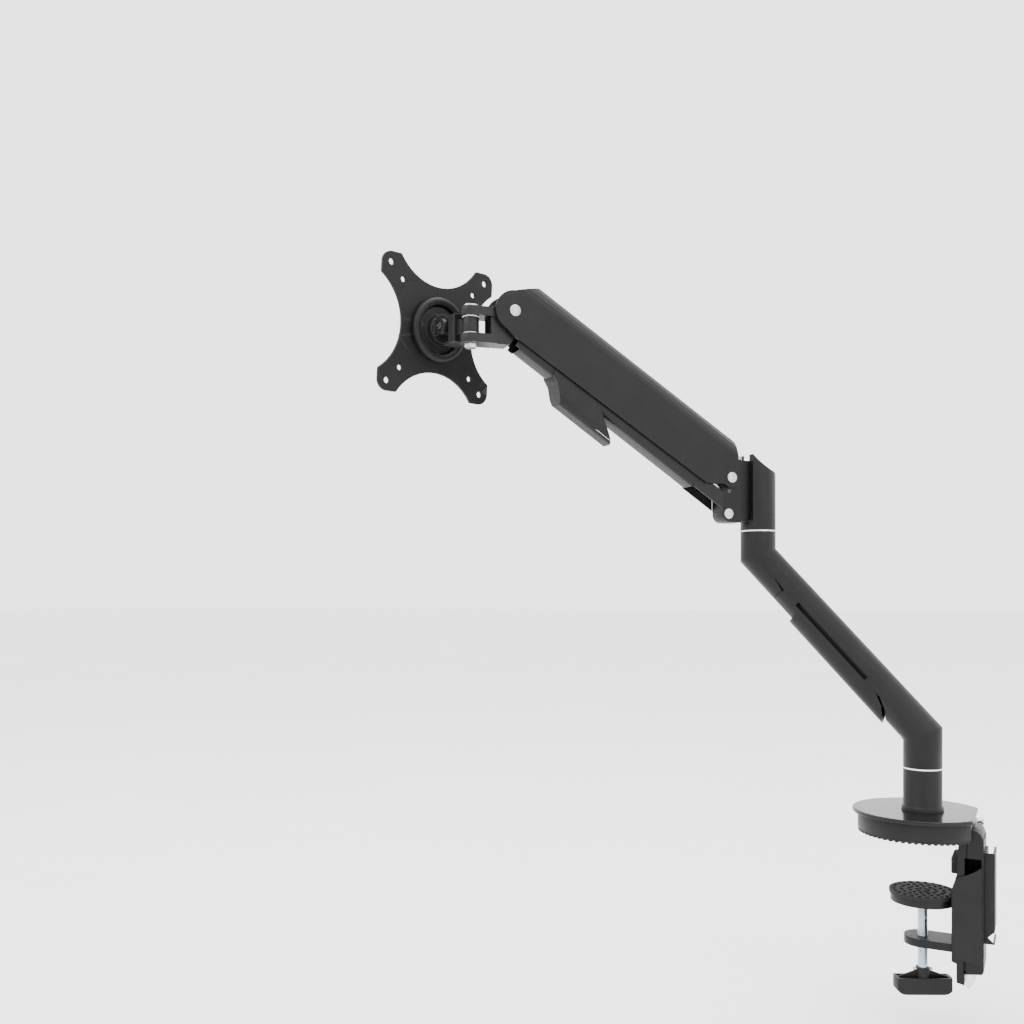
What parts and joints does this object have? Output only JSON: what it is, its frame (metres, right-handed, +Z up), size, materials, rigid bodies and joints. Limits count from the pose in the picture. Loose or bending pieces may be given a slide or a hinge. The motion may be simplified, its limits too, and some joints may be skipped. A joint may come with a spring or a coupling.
{
  "type": "monitor arm",
  "caption": "Desk-clamp monitor arm with a bent lower arm, a gas-spring upper arm, a tilting head and a square-hole monitor plate.",
  "frame": {"origin": "centre of the base underside on the post axis, where the base rests on the desk top", "axes": "+Z up along the post axis; +X from the desk top out past the desk edge, towards the clamp bracket; -Y towards the side that the upper arm swings to"},
  "size_m": [0.4684, 0.3104, 0.6443],
  "materials": {
    "black_powder_coat": "satin",
    "gloss_black_plastic": "gloss",
    "black_plastic": "matte",
    "grey_plastic": "matte",
    "clear_plastic": "gloss",
    "rubber": "matte",
    "bright_ring": "polished",
    "nickel": "polished",
    "zinc_steel": "satin",
    "acetal": "matte",
    "spring_body": "satin",
    "link_steel": "satin"
  },
  "bodies": {
    "base": {"base_body": "black_powder_coat", "base_cover": "gloss_black_plastic", "base_pad": "rubber", "base_post": "black_powder_coat", "base_spindle": "zinc_steel", "base_ring": "bright_ring", "spindle_circlip": "zinc_steel", "clamp_bracket": "black_powder_coat", "bracket_cover": "black_plastic", "rear_cable_clip": "black_plastic", "strap_tip": "clear_plastic", "edge_bumper": "rubber", "clamp_tongue": "black_powder_coat", "tongue_bolts": "zinc_steel", "bracket_screws": "zinc_steel", "release_knob": "nickel"},
    "clamp_pad": {"pad_cup": "black_powder_coat", "pad_rubber": "rubber"},
    "clamp_spindle": {"clamp_screw": "zinc_steel", "t_handle": "black_plastic", "handle_pin": "nickel"},
    "lower_arm": {"lower_arm": "black_powder_coat", "arm_cable_clip": "black_plastic", "cable_liner": "grey_plastic", "lower_arm_bush": "acetal", "elbow_spindle": "zinc_steel", "elbow_ring": "bright_ring", "elbow_cap_screw": "zinc_steel"},
    "elbow": {"elbow_column": "black_powder_coat", "elbow_bush": "acetal", "elbow_yoke": "black_powder_coat", "yoke_bolts": "zinc_steel", "lift_pin": "nickel", "cross_pin": "nickel", "link_pin_elbow": "spring_body", "spring_anchor": "spring_body", "tension_screw": "zinc_steel"},
    "upper_arm": {"arm_shell": "black_powder_coat", "arm_bottom_cover": "grey_plastic", "cable_scoop": "black_plastic", "gas_cylinder": "spring_body", "cylinder_pin": "nickel", "nose_pin": "nickel", "shell_bushes": "acetal"},
    "gas_rod": {"gas_rod": "nickel"},
    "level_link": {"level_link": "link_steel"},
    "nose": {"nose_bracket": "black_powder_coat", "link_pin_nose": "nickel", "pan_bolt": "nickel", "pan_nut": "nickel"},
    "pan_head": {"pan_neck": "black_powder_coat", "pan_washers": "acetal", "tilt_pin": "nickel"},
    "tilt_head": {"tilt_hub": "black_powder_coat", "hub_washer": "acetal"},
    "plate": {"vesa_plate": "black_powder_coat", "hub_ring": "black_plastic", "hub_screw": "zinc_steel"}
  },
  "joints": [
    {"name": "base_swivel", "type": "hinge", "parent": "base", "child": "lower_arm", "pos_m": [0, 0, 0.07], "axis": [0, 0, 1], "range_deg": [-180, 180]},
    {"name": "elbow_swivel", "type": "hinge", "parent": "lower_arm", "child": "elbow", "pos_m": [-0.146, 0, 0.284], "axis": [0, 0, 1], "range_deg": [-180, 180]},
    {"name": "lift", "type": "hinge", "parent": "elbow", "child": "upper_arm", "pos_m": [-0.17067, -0.02838, 0.319], "axis": [-0.7547, 0.6561, 0], "range_deg": [-56, 12]},
    {"name": "level_link_turn", "type": "hinge", "parent": "elbow", "child": "level_link", "pos_m": [-0.16673, -0.02385, 0.3295], "axis": [-0.7547, 0.6561, 0], "range_deg": [-57, 13]},
    {"name": "nose_turn", "type": "hinge", "parent": "upper_arm", "child": "nose", "pos_m": [-0.31193, -0.19088, 0.45146], "axis": [-0.7547, 0.6561, 0], "range_deg": [-13, 57]},
    {"name": "gas_rod_slide", "type": "slide", "parent": "upper_arm", "child": "gas_rod", "axis": [-0.5588, -0.6428, 0.524], "range_m": [-0.0035, 0.0125]},
    {"name": "pan", "type": "hinge", "parent": "nose", "child": "pan_head", "pos_m": [-0.33522, -0.21767, 0.43826], "axis": [0, 0, 1], "range_deg": [-18, 162]},
    {"name": "tilt", "type": "hinge", "parent": "pan_head", "child": "tilt_head", "pos_m": [-0.36375, -0.20556, 0.44276], "axis": [0.3907, 0.9205, 0], "range_deg": [-25, 20]},
    {"name": "plate_roll", "type": "hinge", "parent": "tilt_head", "child": "plate", "pos_m": [-0.38302, -0.19738, 0.44445], "axis": [-0.9175, 0.3895, 0.0802], "range_deg": [-180, 180]},
    {"name": "clamp_travel", "type": "slide", "parent": "base", "child": "clamp_pad", "axis": [0, 0, 1], "range_m": [-0.027, 0.02]},
    {"name": "clamp_screw_turn", "type": "hinge", "parent": "clamp_pad", "child": "clamp_spindle", "pos_m": [0, 0, -0.09], "axis": [0, 0, 1], "range_deg": [-7920, 5904]}
  ],
  "couplings": [
    {"joint": "level_link_turn", "follows": "lift", "ratio": 1},
    {"joint": "nose_turn", "follows": "lift", "ratio": -1},
    {"joint": "gas_rod_slide", "follows": "lift", "m_per_rad": -0.0115},
    {"joint": "clamp_screw_turn", "follows": "clamp_travel", "rad_per_m": 5026.5}
  ]
}
